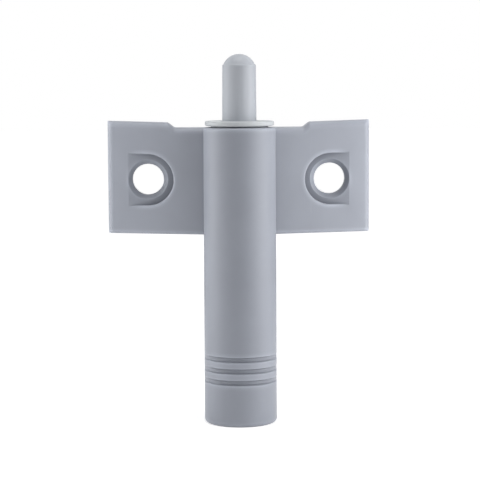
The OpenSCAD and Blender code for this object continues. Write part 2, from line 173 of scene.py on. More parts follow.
class CartridgeSizes(bpy.types.PropertyGroup):
    """Sizes of the cartridge's turned pieces and of its spring"""
    plunger_radius: length("Plunger radius", "Outside of the plunger at its collar", 3.0 * MM)
    dome_foot_radius: length("Dome foot radius", "Outside of the plunger at the foot of its dome", 2.9 * MM)
    dome_height: length("Dome height", "Height of the plunger's domed end", 2.1 * MM)
    shoulder_height: length("Shoulder height", "Height of the rounded shoulder under the dome", 0.36 * MM)
    shoulder_width: length("Shoulder width", "Width of the rounded shoulder under the dome", 0.22 * MM)
    collar_length: length("Collar length", "Collar that keeps the plunger in", 2.5 * MM)
    collar_edge: length("Collar edge", "Rounding of the collar's edges", 0.15 * MM)
    chamber_radius: length("Chamber radius", "Spring chamber in the plunger", 2.15 * MM)
    chamber_roof: length("Chamber roof", "Solid length over the spring chamber", 4.5 * MM)
    rod_socket: length("Rod socket", "Depth of the rod's socket in the plunger", 2.0 * MM)
    rod_radius: length("Rod radius", "Piston rod", 1.0 * MM)
    guide_gap: length("Guide gap", "Clearance of the plunger in the cap", 0.08 * MM)
    spigot_radius: length("Spigot radius", "Part of the cap that sits in the sleeve", 4.0 * MM)
    flange_thickness: length("Flange thickness", "Flange of the cap", 0.85 * MM)
    flange_chamfer: length("Flange chamfer", "Chamfer under the flange's rim", 0.2 * MM)
    flange_rounding: length("Flange rounding", "Rounding of the flange's top edge", 0.24 * MM)
    cap_edge: length("Cap edge", "Rounding of the cap's other edges", 0.12 * MM)
    wire_diameter: length("Wire diameter", "Spring wire", 0.45 * MM)
    spring_turns: IntProperty(name="Turns", description="Turns of the spring", default=18, min=4)
    end_spacing: FloatProperty(name="End spacing", description="Spacing of the closed end turns, in wires",
                               default=1.15)
    foam_bore: length("Foam bore", "Bore of the foam tube", 1.4 * MM)
    foam_rounding: length("Foam rounding", "Rounding of the foam tube's ends", 0.25 * MM)
    foam_cell: length("Foam cell", "Size of a cell at the foam's skin", 0.45 * MM)
    foam_pit: length("Foam pit", "Depth of a cell's dent in the foam's skin", 0.07 * MM)


class Finishes(bpy.types.PropertyGroup):
    """Colours of the materials"""
    holder: colour("Holder", "Moulded holder", "9A9EA8")
    plunger: colour("Plunger", "Plunger", "B4B8BF")
    cap: colour("Cap", "Cap that guides the plunger", "C2C6C9")
    sleeve: colour("Sleeve", "Cartridge sleeve", "8A8D95")
    inner: colour("Inner pieces", "Natural plastic inside", "E0DED5")
    ring: colour("Piston ring", "Dark filled plastic", "38383B")
    rubber: colour("Rubber", "Seals", "242426")
    foam: colour("Foam", "Compensator foam", "D8C79A")
    steel: colour("Steel", "Rod, spring and pressed steel", "C6C8CA")


# Shared builders


def feed(tree, node, inputs):
    """Sets a node's inputs: each takes a value, or the socket or node that feeds it."""
    for name, value in inputs.items():
        if isinstance(value, bpy.types.Node):
            value = next(socket for socket in value.outputs if socket.enabled)
        if isinstance(value, bpy.types.NodeSocket):
            tree.links.new(value, node.inputs[name])
        else:
            node.inputs[name].default_value = value


def add(tree, kind, inputs=None, **settings):
    """Adds a node with its settings and inputs."""
    node = tree.nodes.new(kind)
    for name, value in settings.items():
        setattr(node, name, value)
    feed(tree, node, inputs or {})
    return node


def rounded_outline(corners, closed=False, steps=ROUND_STEPS):
    """Points of an outline in a plane, whose corners (a, b, radius) are rounded off."""
    points = []
    for i, (a, b, radius) in enumerate(corners):
        corner = Vector((a, b))
        if radius == 0 or (not closed and i in (0, len(corners) - 1)):
            points.append(corner)
            continue
        before = (Vector(corners[i - 1][:2]) - corner).normalized()
        after = (Vector(corners[(i + 1) % len(corners)][:2]) - corner).normalized()
        half = before.angle(after) / 2
        centre = corner + (before + after).normalized() * radius / math.sin(half)
        start = corner + before * radius / math.tan(half) - centre
        end = corner + after * radius / math.tan(half) - centre
        sweep = math.pi - 2 * half
        for k in range(steps + 1):
            share = k / steps
            points.append(centre + (start * math.sin((1 - share) * sweep)
                                    + end * math.sin(share * sweep)) / math.sin(sweep))
    return points


def mesh_object(name, mesh_maker):
    """New object at the origin, whose closed mesh mesh_maker fills in."""
    mesh = bpy.data.meshes.new(name)
    shape = bmesh.new()
    mesh_maker(shape)
    bmesh.ops.remove_doubles(shape, verts=shape.verts, dist=WELD)
    bmesh.ops.recalc_face_normals(shape, faces=shape.faces)
    shape.to_mesh(mesh)
    shape.free()
    piece = bpy.data.objects.new(name, mesh)
    bpy.context.scene.collection.objects.link(piece)
    return piece


def join_rings(shape, rings, closed):
    """Quads between rings of vertices; a ring of one vertex is a pole."""
    pairs = list(zip(rings, rings[1:]))
    if closed:
        pairs.append((rings[-1], rings[0]))
    for one, two in pairs:
        for i in range(max(len(one), len(two))):
            j = (i + 1) % max(len(one), len(two))
            corners = [one[i % len(one)], one[j % len(one)], two[j % len(two)], two[i % len(two)]]
            shape.faces.new(dict.fromkeys(corners))


def turned(name, outline, closed=False):
    """Piece turned about the part's axis from an outline of (radius, height) points."""
    def fill(shape):
        rings = []
        for radius, height in outline:
            count = TURN_SEGMENTS if radius > WELD else 1
            angles = [2 * math.pi * i / count for i in range(count)]
            rings.append([shape.verts.new((radius * math.cos(a), AXIS_Y + radius * math.sin(a), height))
                          for a in angles])
        join_rings(shape, rings, closed)
    return mesh_object(name, fill)


def lofted(name, rings):
    """Solid between rings of points, with both ends closed."""
    def fill(shape):
        made = [[shape.verts.new(point) for point in ring] for ring in rings]
        join_rings(shape, made, False)
        shape.faces.new(made[0])
        shape.faces.new(made[-1])
    return mesh_object(name, fill)


def evaluated(piece):
    """Turns a piece's modifiers into plain mesh."""
    mesh = bpy.data.meshes.new_from_object(piece.evaluated_get(bpy.context.evaluated_depsgraph_get()))
    old = piece.data
    piece.modifiers.clear()
    piece.data = mesh
    mesh.name = piece.name
    bpy.data.meshes.remove(old)
    return piece


def combined(piece, tool, operation):
    """Joins a tool shape to a piece, or cuts it out, and removes the tool."""
    step = piece.modifiers.new(operation.title(), "BOOLEAN")
    step.operation = operation
    step.solver = "EXACT"
    step.object = tool
    evaluated(piece)
    bpy.data.objects.remove(tool)
    return piece


def with_nodes(piece, tree, values):
    """Runs a geometry node tree with its named inputs on a piece, and keeps the result as plain mesh."""
    step = piece.modifiers.new(tree.name, "NODES")
    step.node_group = tree
    for socket in tree.interface.items_tree:
        if socket.in_out == "INPUT" and socket.name in values:
            step[socket.identifier] = values[socket.name]
    return evaluated(piece)


def geometry_tree(name, inputs):
    """Empty geometry node tree with named inputs of (kind, name), and its two end nodes."""
    tree = bpy.data.node_groups.new(name, "GeometryNodeTree")
    tree.is_modifier = True
    tree.interface.new_socket("Geometry", in_out="INPUT", socket_type="NodeSocketGeometry")
    tree.interface.new_socket("Geometry", in_out="OUTPUT", socket_type="NodeSocketGeometry")
    for kind, socket in inputs:
        tree.interface.new_socket(socket, in_out="INPUT", socket_type="NodeSocket" + kind)
    return tree, add(tree, "NodeGroupInput").outputs, add(tree, "NodeGroupOutput")


def finish_tree(tree, given, out, shape):
    """Ends a geometry node tree: what it made becomes plain mesh and gets its material."""
    whole = add(tree, "GeometryNodeRealizeInstances", {"Geometry": shape})
    painted = add(tree, "GeometryNodeSetMaterial", {"Geometry": whole, "Material": given["Material"]})
    feed(tree, out, {"Geometry": painted})
    return tree


def smoothed(piece, sharp=SHARP_ANGLE):
    """Welds a finished mesh and shades it smooth, with flat faces flat and corners sharp."""
    shape = bmesh.new()
    shape.from_mesh(piece.data)
    bmesh.ops.remove_doubles(shape, verts=shape.verts, dist=WELD)
    bmesh.ops.dissolve_degenerate(shape, edges=shape.edges, dist=WELD)
    bmesh.ops.recalc_face_normals(shape, faces=shape.faces)
    shape.to_mesh(piece.data)
    shape.free()
    piece.data.shade_smooth()
    piece.data.set_sharp_from_angle(angle=sharp)
    weigh = piece.modifiers.new("Weighted normals", "WEIGHTED_NORMAL")
    weigh.keep_sharp = True
    return evaluated(piece)


def dressed(piece, body, node, material):
    """Gives a finished piece its material, body and record slot, in place of a packed node."""
    piece.data.materials.clear()
    piece.data.materials.append(material)
    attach(piece, body)
    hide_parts(node)


# Materials


def new_material(name):
    """Empty material, with its tree, its shader and its Object coordinates."""
    material = bpy.data.materials.new(name)
    material.use_nodes = True
    tree = material.node_tree
    shader = tree.nodes["Principled BSDF"]
    place = add(tree, "ShaderNodeTexCoord").outputs["Object"]
    return material, tree, shader, place


def per_metre(size):
    """Texture scale at which a pattern repeats about once in a real size."""
    return 1.0 / size


def moulded_abs():
    """Moulded ABS with a fine spark-eroded grain: satin, slightly clouded, paler where edges are rubbed
    smooth and darker where dust stays in corners."""
    material, tree, shader, place = new_material("abs_moulded_satin")
    base = bpy.context.scene.damper_finishes.holder
    cloud = add(tree, "ShaderNodeTexNoise", {"Vector": place, "Scale": per_metre(7 * MM), "Detail": 3.0})
    tint = add(tree, "ShaderNodeMapRange", {"Value": cloud, **NOISE, "To Min": 0.97, "To Max": 1.03})
    # Painted shade: the colour darkens, down to 0.62 times, where other surfaces close in within 5 mm, as in
    # corners, grooves, recesses and beside the barrel
    corner = add(tree, "ShaderNodeAmbientOcclusion", {"Distance": 5.0 * MM}, samples=8, only_local=True)
    painted_corner_shade = add(tree, "ShaderNodeMapRange", {"Value": corner.outputs["AO"], "From Min": 0.3, "From Max": 1.0,
                                            "To Min": 0.62, "To Max": 1.0})
    # Painted highlight: the colour pales, up to 1.62 times, along convex edges such as rims and groove sides
    edge = add(tree, "ShaderNodeAmbientOcclusion", {"Distance": 0.9 * MM}, samples=8, inside=True,
               only_local=True)
    painted_edge_highlight = add(tree, "ShaderNodeMapRange", {"Value": edge.outputs["AO"], "From Min": 0.4, "From Max": 1.0,
                                              "To Min": 1.62, "To Max": 1.0})
    painted_shade_and_highlight = add(tree, MATH, {0: painted_corner_shade, 1: painted_edge_highlight}, operation="MULTIPLY")
    tone_and_painted_light = add(tree, MATH, {0: tint, 1: painted_shade_and_highlight}, operation="MULTIPLY")
    shade = add(tree, "ShaderNodeMix", {"Factor": 1.0, "A": base, "B": tone_and_painted_light}, **TINTED)
    roughness = add(tree, "ShaderNodeMapRange", {"Value": cloud, **NOISE, "To Min": 0.38, "To Max": 0.46})
    # The real grain, of about 0.05 mm, is too fine to show, so it is drawn coarser
    grain = add(tree, "ShaderNodeTexNoise", {"Vector": place, "Scale": per_metre(0.22 * MM), "Detail": 2.0})
    bump = add(tree, "ShaderNodeBump", {"Height": grain, "Strength": 0.12, "Distance": 0.02 * MM})
    feed(tree, shader, {"Base Color": shade, "Roughness": roughness, "Normal": bump, "IOR": 1.54,
                        "Specular IOR Level": 0.3})
    return material


def moulded_acetal(name, base):
    """Moulded acetal: smoother and a little waxier than ABS, with faint drawing lines along the axis."""
    material, tree, shader, place = new_material(name)
    # Real lines, a few hundredths of a millimetre wide, are too fine to show, so they are drawn coarser
    line_width, line_length = 0.5 * MM, 6.25 * MM
    stretch = add(tree, "ShaderNodeMapping", {"Vector": place, "Scale": (1, 1, line_width / line_length)})
    lines = add(tree, "ShaderNodeTexNoise", {"Vector": stretch, "Scale": per_metre(line_width),
                                             "Detail": 2.0})
    tint = add(tree, "ShaderNodeMapRange", {"Value": lines, **NOISE, "To Min": 0.98, "To Max": 1.02})
    shade = add(tree, "ShaderNodeMix", {"Factor": 1.0, "A": base, "B": tint}, **TINTED)
    roughness = add(tree, "ShaderNodeMapRange", {"Value": lines, **NOISE, "To Min": 0.38, "To Max": 0.46})
    bump = add(tree, "ShaderNodeBump", {"Height": lines, "Strength": 0.08, "Distance": 0.01 * MM})
    feed(tree, shader, {"Base Color": shade, "Roughness": roughness, "Normal": bump, "IOR": 1.48,
                        "Specular IOR Level": 0.35})
    return material


def filled_plastic():
    """Dark bearing plastic with a mineral filler, which shows as pale specks."""
    material, tree, shader, place = new_material("filled_plastic_moulded")
    base = bpy.context.scene.damper_finishes.ring
    # Real specks, of about 0.03 mm, are too fine to show, so they are drawn coarser
    specks = add(tree, "ShaderNodeTexVoronoi", {"Vector": place, "Scale": per_metre(0.18 * MM)})
    pale = add(tree, "ShaderNodeMapRange", {"Value": specks, "From Min": 0.05, "From Max": 0.25,
                                            "To Min": 1.6, "To Max": 1.0})
    shade = add(tree, "ShaderNodeMix", {"Factor": 1.0, "A": base, "B": pale}, **TINTED)
    feed(tree, shader, {"Base Color": shade, "Roughness": 0.5})
    return material


def nitrile_rubber():
    """Moulded nitrile rubber: near black, dull, with an oily unevenness in its gloss."""
    material, tree, shader, place = new_material("nitrile_rubber_moulded")
    film = add(tree, "ShaderNodeTexNoise", {"Vector": place, "Scale": per_metre(0.9 * MM), "Detail": 3.0})
    roughness = add(tree, "ShaderNodeMapRange", {"Value": film, **NOISE, "To Min": 0.45, "To Max": 0.65})
    feed(tree, shader, {"Base Color": bpy.context.scene.damper_finishes.rubber, "Roughness": roughness})
    return material


def closed_cell_foam():
    """Closed-cell foam: dry and matt, with paler cell walls and darker dents."""
    material, tree, shader, place = new_material("foam_closed_cell")
    base = bpy.context.scene.damper_finishes.foam
    cell = bpy.context.scene.damper_cartridge.foam_cell
    cells = add(tree, "ShaderNodeTexVoronoi", {"Vector": place, "Scale": per_metre(cell)})
    dent = add(tree, "ShaderNodeMapRange", {"Value": cells, "From Min": 0.0, "From Max": 0.6,
                                            "To Min": 0.72, "To Max": 1.06})
    shade = add(tree, "ShaderNodeMix", {"Factor": 1.0, "A": base, "B": dent}, **TINTED)
    feed(tree, shader, {"Base Color": shade, "Roughness": 0.9})
    return material


def drawn_steel(name, line_length, smoothest, roughest):
    """Steel with fine lines along the axis, left by grinding, drawing or pressing, which blur its shine."""
    material, tree, shader, place = new_material(name)
    # Real lines, about a hundredth of a millimetre wide, are too fine to show, so they are drawn coarser
    line_width = 0.1 * MM
    stretch = add(tree, "ShaderNodeMapping", {"Vector": place, "Scale": (1, 1, line_width / line_length)})
    lines = add(tree, "ShaderNodeTexNoise", {"Vector": stretch, "Scale": per_metre(line_width),
                                             "Detail": 2.0})
    roughness = add(tree, "ShaderNodeMapRange", {"Value": lines, **NOISE, "To Min": smoothest,
                                                 "To Max": roughest})
    feed(tree, shader, {"Base Color": bpy.context.scene.damper_finishes.steel, "Metallic": 1.0,
                        "Roughness": roughness})
    return material


# Holder


def groove_tree():
    """Grip grooves round a barrel. Their floor is a circle of the barrel's radius that is moved back by their
    depth, so that they are deepest at the front and run out to nothing at the sides."""
    tree, given, out = geometry_tree("Grip grooves", [
        ("Int", "Count"), ("Float", "Start"), ("Float", "Pitch"), ("Float", "Width"), ("Float", "Depth"),
        ("Float", "Edge"), ("Float", "Radius"), ("Vector", "Axis"), ("Material", "Material")])
    position = add(tree, "GeometryNodeInputPosition")
    height = add(tree, "ShaderNodeSeparateXYZ", {0: position}).outputs["Z"]

    # Direction away from the axis, and how deep the floor lies under the surface in that direction
    apart = add(tree, VECTOR_MATH, {0: position, 1: given["Axis"]}, operation="SUBTRACT")
    level = add(tree, VECTOR_MATH, {0: apart, 1: (1, 1, 0)}, operation="MULTIPLY")
    outward = add(tree, VECTOR_MATH, {0: level}, operation="NORMALIZE")
    shift = add(tree, "ShaderNodeCombineXYZ", {"Y": given["Depth"]})
    lean = add(tree, VECTOR_MATH, {0: outward, 1: shift}, operation="DOT_PRODUCT")
    front = add(tree, MATH, {0: given["Radius"], 1: given["Depth"]}, operation="SUBTRACT")
    back = add(tree, MATH, {0: given["Radius"], 1: given["Depth"]}, operation="ADD")
    power = add(tree, MATH, {0: front, 1: back}, operation="MULTIPLY")
    square = add(tree, MATH, {0: lean, 1: lean, 2: power}, operation="MULTIPLY_ADD")
    chord = add(tree, MATH, {0: square}, operation="SQRT")
    floor = add(tree, MATH, {0: lean, 1: chord}, operation="ADD")
    deep = add(tree, MATH, {0: given["Radius"], 1: floor}, operation="SUBTRACT", use_clamp=True)

    # Share of that depth at this height: nought beside a groove, and rising along its rounded sides
    climb = add(tree, MATH, {0: height, 1: given["Start"]}, operation="SUBTRACT")
    span = add(tree, MATH, {0: given["Count"], 1: given["Pitch"]}, operation="MULTIPLY")
    middle = add(tree, MATH, {0: span, 1: 0.5}, operation="MULTIPLY")
    among = add(tree, MATH, {0: climb, 1: middle, 2: middle}, operation="COMPARE")
    within = add(tree, MATH, {0: climb, 1: given["Pitch"]}, operation="FLOORED_MODULO")
    half = add(tree, MATH, {0: given["Width"], 1: 0.5}, operation="MULTIPLY")
    offset = add(tree, MATH, {0: within, 1: half}, operation="SUBTRACT")
    distance = add(tree, MATH, {0: offset}, operation="ABSOLUTE")
    inside = add(tree, MATH, {0: half, 1: distance}, operation="SUBTRACT")
    side = add(tree, "ShaderNodeMapRange", {"Value": inside, "From Max": given["Edge"]},
               interpolation_type="SMOOTHSTEP")
    share = add(tree, MATH, {0: side, 1: among}, operation="MULTIPLY")

    sink = add(tree, MATH, {0: share, 1: deep}, operation="MULTIPLY")
    inward = add(tree, MATH, {0: sink, 1: -1.0}, operation="MULTIPLY")
    moved = add(tree, VECTOR_MATH, {0: outward, "Scale": inward}, operation="SCALE")
    sunk = add(tree, "GeometryNodeSetPosition", {"Geometry": given["Geometry"], "Offset": moved})
    return finish_tree(tree, given, out, sunk)


def barrel(sizes, material):
    """Outside of the barrel with its grip grooves and its draft, as a solid."""
    bottom = HOLDER_LOW.z
    slope = sizes.barrel_draft / (sizes.rim_height - bottom)
    row = sizes.groove_edge / GROOVE_SIDE_ROWS
    first = bottom + sizes.groove_start
    band = sizes.groove_pitch * (sizes.groove_count - 1) + sizes.groove_width
    heights = [first + i * row for i in range(round(band / row) + 1)]
    rows = [(sizes.barrel_radius - slope * (height - bottom), height) for height in heights]
    ends = rounded_outline([(0, bottom, 0), (sizes.barrel_radius, bottom, sizes.end_rounding),
                            (sizes.barrel_radius - sizes.barrel_draft, sizes.rim_height, sizes.rim_rounding),
                            (0, sizes.rim_height, 0)])
    lower = [tuple(p) for p in ends if p.y < first]
    upper = [tuple(p) for p in ends if p.y > heights[-1]]
    return with_nodes(turned("barrel", lower + rows + upper), groove_tree(), {
        "Count": sizes.groove_count, "Start": first, "Pitch": sizes.groove_pitch,
        "Width": sizes.groove_width, "Depth": sizes.groove_depth, "Edge": sizes.groove_edge,
        "Radius": sizes.barrel_radius, "Axis": (0, AXIS_Y, 0), "Material": material})


def bore_space(sizes):
    """Space of the cartridge, with a chamfered mouth."""
    flare = sizes.mouth_chamfer + PAST
    top = sizes.rim_height + PAST
    return turned("bore", [(0, SLEEVE_LOW.z), (sizes.bore_radius, SLEEVE_LOW.z),
                           (sizes.bore_radius, sizes.rim_height - sizes.mouth_chamfer),
                           (sizes.bore_radius + flare, top), (0, top)])


def between(points, x):
    """Height of an outline of (x, height) points at x."""
    for (x0, h0), (x1, h1) in zip(points, points[1:]):
        if x0 <= x <= x1:
            return h0 + (h1 - h0) * (x - x0) / max(x1 - x0, WELD)
    return points[-1][1]


class WingShape:
    """Outlines of a wing: its thickness and its top edge at a distance from the axis."""

    def __init__(self, sizes):
        self.tip = HOLDER_HIGH.x
        self.slope = (sizes.wing_root - sizes.wing_tip) / (self.tip - sizes.barrel_radius)
        self.root = sizes.wing_root + sizes.barrel_radius * self.slope
        self.plan = rounded_outline([(0, self.root, 0), (self.tip, sizes.wing_tip, sizes.wing_rounding),
                                     (self.tip, 0, 0)])[:-1]
        step_end = sizes.step_reach + sizes.step_slope
        self.top = rounded_outline([(0, sizes.notch_top, 0),
                                    (sizes.step_reach, sizes.notch_top, sizes.step_rounding),
                                    (step_end, sizes.step_top, sizes.step_rounding),
                                    (self.tip, HOLDER_HIGH.z, 0)])

    def face(self, x):
        """Thickness of the sloping wing at x, without its rounded tip."""
        return self.root - x * self.slope

    def stations(self):
        """Distances from the axis at which the wing's outlines bend."""
        return sorted({round(p.x, 9) for p in self.plan + self.top})


def wings(sizes, shape):
    """Both wings in one solid: a ring round the wing at each station, from tip to tip."""
    rings = []
    right = shape.stations()
    back_spare = 1.5 * sizes.back_rounding
    for x in [-x for x in reversed(right[1:])] + right:
        thickness = between(shape.plan, abs(x))
        top = between(shape.top, abs(x))
        room = thickness - back_spare
        ring = rounded_outline([(0, sizes.wing_bottom, sizes.back_rounding),
                                (-thickness, sizes.wing_bottom, min(sizes.foot_rounding, room)),
                                (-thickness, top, min(sizes.wing_rounding, room)),
                                (0, top, sizes.back_rounding)], closed=True)
        rings.append([(x, y, z) for y, z in ring])
    return lofted("wings", rings)


def recess_space(sizes, shape, side):
    """Space over a screw head: a D seen from the front, with a rounded rim along the sloping face."""
    far = shape.tip + PAST
    rim = sizes.recess_rim
    chord = math.pi / 2 / ROUND_STEPS
    # Each level has how much wider the D is there and how deep it lies under the sloping face
    levels = [(0, sizes.wing_root)]
    for k in range(ROUND_STEPS):
        levels.append((rim * (1 - math.cos(k * chord)), rim * (1 - math.sin(k * chord))))
    # The rim's last chord runs on through the face, so that no edge of the space lies in the face
    lift = 0.1 * MM
    spread = rim + lift / math.tan(chord / 2)
    levels += [(spread, -lift), (spread, -PAST)]
    arc = [math.pi / 2 + math.pi * i / RECESS_STEPS for i in range(RECESS_STEPS + 1)]
    rings = []
    for grow, sink in levels:
        radius = sizes.recess_radius + grow
        outline = [(HOLE_X + radius * math.cos(a), radius * math.sin(a)) for a in arc]
        outline = [(far, radius)] + outline + [(far, -radius)]
        rings.append([(side * x, sink - shape.face(x), z) for x, z in outline])
    tool = lofted("recess", rings)
    cut = bmesh.new()
    cut.from_mesh(tool.data)
    whole = cut.verts[:] + cut.edges[:] + cut.faces[:]
    done = bmesh.ops.bisect_plane(cut, geom=whole, plane_co=(0, -sizes.recess_floor, 0), plane_no=(0, 1, 0),
                                  clear_outer=True)
    bmesh.ops.edgeloop_fill(cut, edges=[e for e in done["geom_cut"] if isinstance(e, bmesh.types.BMEdge)])
    bmesh.ops.recalc_face_normals(cut, faces=cut.faces)
    cut.to_mesh(tool.data)
    cut.free()
    return tool


def screw_space(sizes, side):
    """Screw hole and its countersink."""
    hole = HOLE["dims"]["r_mm"] * MM
    sink = sizes.sink_radius - hole
    over = (sizes.recess_radius - sizes.sink_radius) / 2
    tool = turned("screw_hole", [(0, -PAST), (hole + sizes.back_rounding + PAST, -PAST),
                                 (hole, sizes.back_rounding), (hole, sizes.recess_floor - sink),
                                 (sizes.sink_radius + over, sizes.recess_floor + over),
                                 (0, sizes.recess_floor + over)])
    upright = Matrix.Rotation(math.pi / 2, 4, "X") @ Matrix.Translation((0, -AXIS_Y, 0))
    tool.data.transform(Matrix.Translation((side * HOLE_X, 0, 0)) @ upright)
    return tool


def pocket_space(sizes, shape, side, low, high):
    """Pocket that cores out the thick root of a wing from the back."""
    inner = sizes.core_inner
    outer = HOLE_X - sizes.recess_radius - sizes.core_wall
    wall = sizes.core_wall * math.hypot(1, shape.slope)
    corners = [(inner, low), (outer, low), (outer, high), (inner, high)]
    outline = rounded_outline([(x, z, sizes.core_rounding) for x, z in corners], closed=True)
    return lofted("pocket", [[(side * x, PAST, z) for x, z in outline],
                             [(side * x, wall - shape.face(x), z) for x, z in outline]])


class DAMPER_OT_make_holder(bpy.types.Operator):
    """Builds the moulded holder: a grooved barrel with two wedge-shaped wings"""
    bl_idname = "damper.make_holder"
    bl_label = "Make holder"

    def execute(self, context):
        sizes = context.scene.damper_holder
        plastic = moulded_abs()
        shape = WingShape(sizes)
        body = wings(sizes, shape)
        middle = (sizes.wing_bottom + sizes.notch_top) / 2
        spans = [(sizes.wing_bottom + sizes.core_wall, middle - sizes.core_rib / 2),
                 (middle + sizes.core_rib / 2, sizes.notch_top - sizes.core_wall)]
        for side in (-1, 1):
            combined(body, recess_space(sizes, shape, side), "DIFFERENCE")
            combined(body, screw_space(sizes, side), "DIFFERENCE")
            for low, high in spans:
                combined(body, pocket_space(sizes, shape, side, low, high), "DIFFERENCE")
        holder = combined(barrel(sizes, plastic), body, "UNION")
        combined(holder, bore_space(sizes), "DIFFERENCE")
        holder.name = "holder_moulding"
        dressed(smoothed(holder), "holder", "holder", plastic)
        return {"FINISHED"}


# Cartridge


class DAMPER_OT_make_cartridge(bpy.types.Operator):
    """Builds the turned pieces that show: the plunger and the cap that guides it"""
    bl_idname = "damper.make_cartridge"
    bl_label = "Make plunger and cap"

    def execute(self, context):
        sizes = context.scene.damper_cartridge
        finishes = context.scene.damper_finishes
        plunger = smoothed(turned("plunger_pin", self.plunger_outline(sizes)), CREASE_ANGLE)
        dressed(plunger, "plunger", "plunger",
                moulded_acetal("acetal_moulded_light", finishes.plunger))
        cap = smoothed(turned("cap_flange", self.cap_outline(sizes), closed=True))
        dressed(cap, "holder", "flange_cap",
                moulded_acetal("acetal_moulded_pale", finishes.cap))
        return {"FINISHED"}

    def plunger_outline(self, sizes):
        """Half section of the plunger: dome, shoulder, tapered pin, collar, spring chamber and rod socket."""
        foot, top, bottom = sizes.dome_foot_radius, PLUNGER_HIGH.z, PLUNGER_LOW.z
        collar, edge = PLUNGER_HIGH.x, sizes.collar_edge
        collar_top = bottom + sizes.collar_length
        roof = top - sizes.chamber_roof
        width, height = sizes.shoulder_width, sizes.shoulder_height
        crease = foot - width
        rise = sizes.dome_height - height
        dome = (crease ** 2 + rise ** 2) / (2 * rise)
        spread = math.asin(crease / dome)
        slants = [spread * i / DOME_STEPS for i in range(DOME_STEPS + 1)]
        cap = [(dome * math.sin(a), top - dome * (1 - math.cos(a))) for a in slants]
        bend = (width ** 2 + height ** 2) / (2 * width)
        turn = math.asin(height / bend)
        shoulder = [(foot - bend * (1 - math.cos(turn * i / ROUND_STEPS)),
                     top - sizes.dome_height + bend * math.sin(turn * i / ROUND_STEPS))
                    for i in reversed(range(ROUND_STEPS))]
        lower = rounded_outline([(sizes.plunger_radius, collar_top, 0), (collar, collar_top, edge),
                                 (collar, bottom, edge), (sizes.chamber_radius, bottom, edge),
                                 (sizes.chamber_radius, roof, 0)])
        socket = [(sizes.rod_radius, roof), (sizes.rod_radius, roof + sizes.rod_socket),
                  (0, roof + sizes.rod_socket)]
        return cap + shoulder + [tuple(p) for p in lower] + socket

    def cap_outline(self, sizes):
        """Half section of the cap: a spigot under a flange with a rounded rim."""
        guide = sizes.plunger_radius + sizes.guide_gap
        top, reach = CAP_HIGH.z, CAP_HIGH.x
        seat = top - sizes.flange_thickness
        edge = sizes.cap_edge
        return [tuple(p) for p in rounded_outline([
            (guide, CAP_LOW.z, edge), (sizes.spigot_radius, CAP_LOW.z, edge), (sizes.spigot_radius, seat, 0),
            (reach - sizes.flange_chamfer, seat, edge), (reach, seat + sizes.flange_chamfer, edge),
            (reach, top, sizes.flange_rounding), (guide, top, edge)], closed=True)]


# Spring and foam


def spring_tree():
    """Compression spring: round wire on a helix with a closed turn at each end."""
    tree, given, out = geometry_tree("Compression spring", [
        ("Int", "Turns"), ("Float", "Coil"), ("Float", "Wire"), ("Float", "Closed Rise"),
        ("Float", "Open Rise"), ("Vector", "Foot"), ("Material", "Material")])
    # The spiral climbs by one in each turn, so its height counts the turns
    spiral = add(tree, "GeometryNodeCurveSpiral", {
        "Resolution": COIL_POINTS, "Rotations": given["Turns"], "Start Radius": given["Coil"],
        "End Radius": given["Coil"], "Height": given["Turns"], "Reverse": True})
    place = add(tree, "ShaderNodeSeparateXYZ", {0: add(tree, "GeometryNodeInputPosition")}).outputs
    turn = place["Z"]
    open_end = add(tree, MATH, {0: given["Turns"], 1: 1.0}, operation="SUBTRACT")
    first = add(tree, "ShaderNodeMapRange", {"Value": turn, "To Max": given["Closed Rise"]})
    middle = add(tree, "ShaderNodeMapRange", {"Value": turn, "From Min": 1.0, "From Max": open_end,
                                              "To Max": given["Open Rise"]})
    last = add(tree, "ShaderNodeMapRange", {"Value": turn, "From Min": open_end, "From Max": given["Turns"],
                                            "To Max": given["Closed Rise"]})
    ends = add(tree, MATH, {0: first, 1: last}, operation="ADD")
    height = add(tree, MATH, {0: ends, 1: middle}, operation="ADD")
    path = add(tree, "ShaderNodeCombineXYZ", {"X": place["X"], "Y": place["Y"], "Z": height})
    helix = add(tree, "GeometryNodeSetPosition", {"Geometry": spiral, "Position": path,
                                                  "Offset": given["Foot"]})
    wire = add(tree, "GeometryNodeCurvePrimitiveCircle", {"Resolution": WIRE_POINTS, "Radius": given["Wire"]})
    coil = add(tree, "GeometryNodeCurveToMesh", {"Curve": helix, "Profile Curve": wire, "Fill Caps": True})
    return finish_tree(tree, given, out, coil)


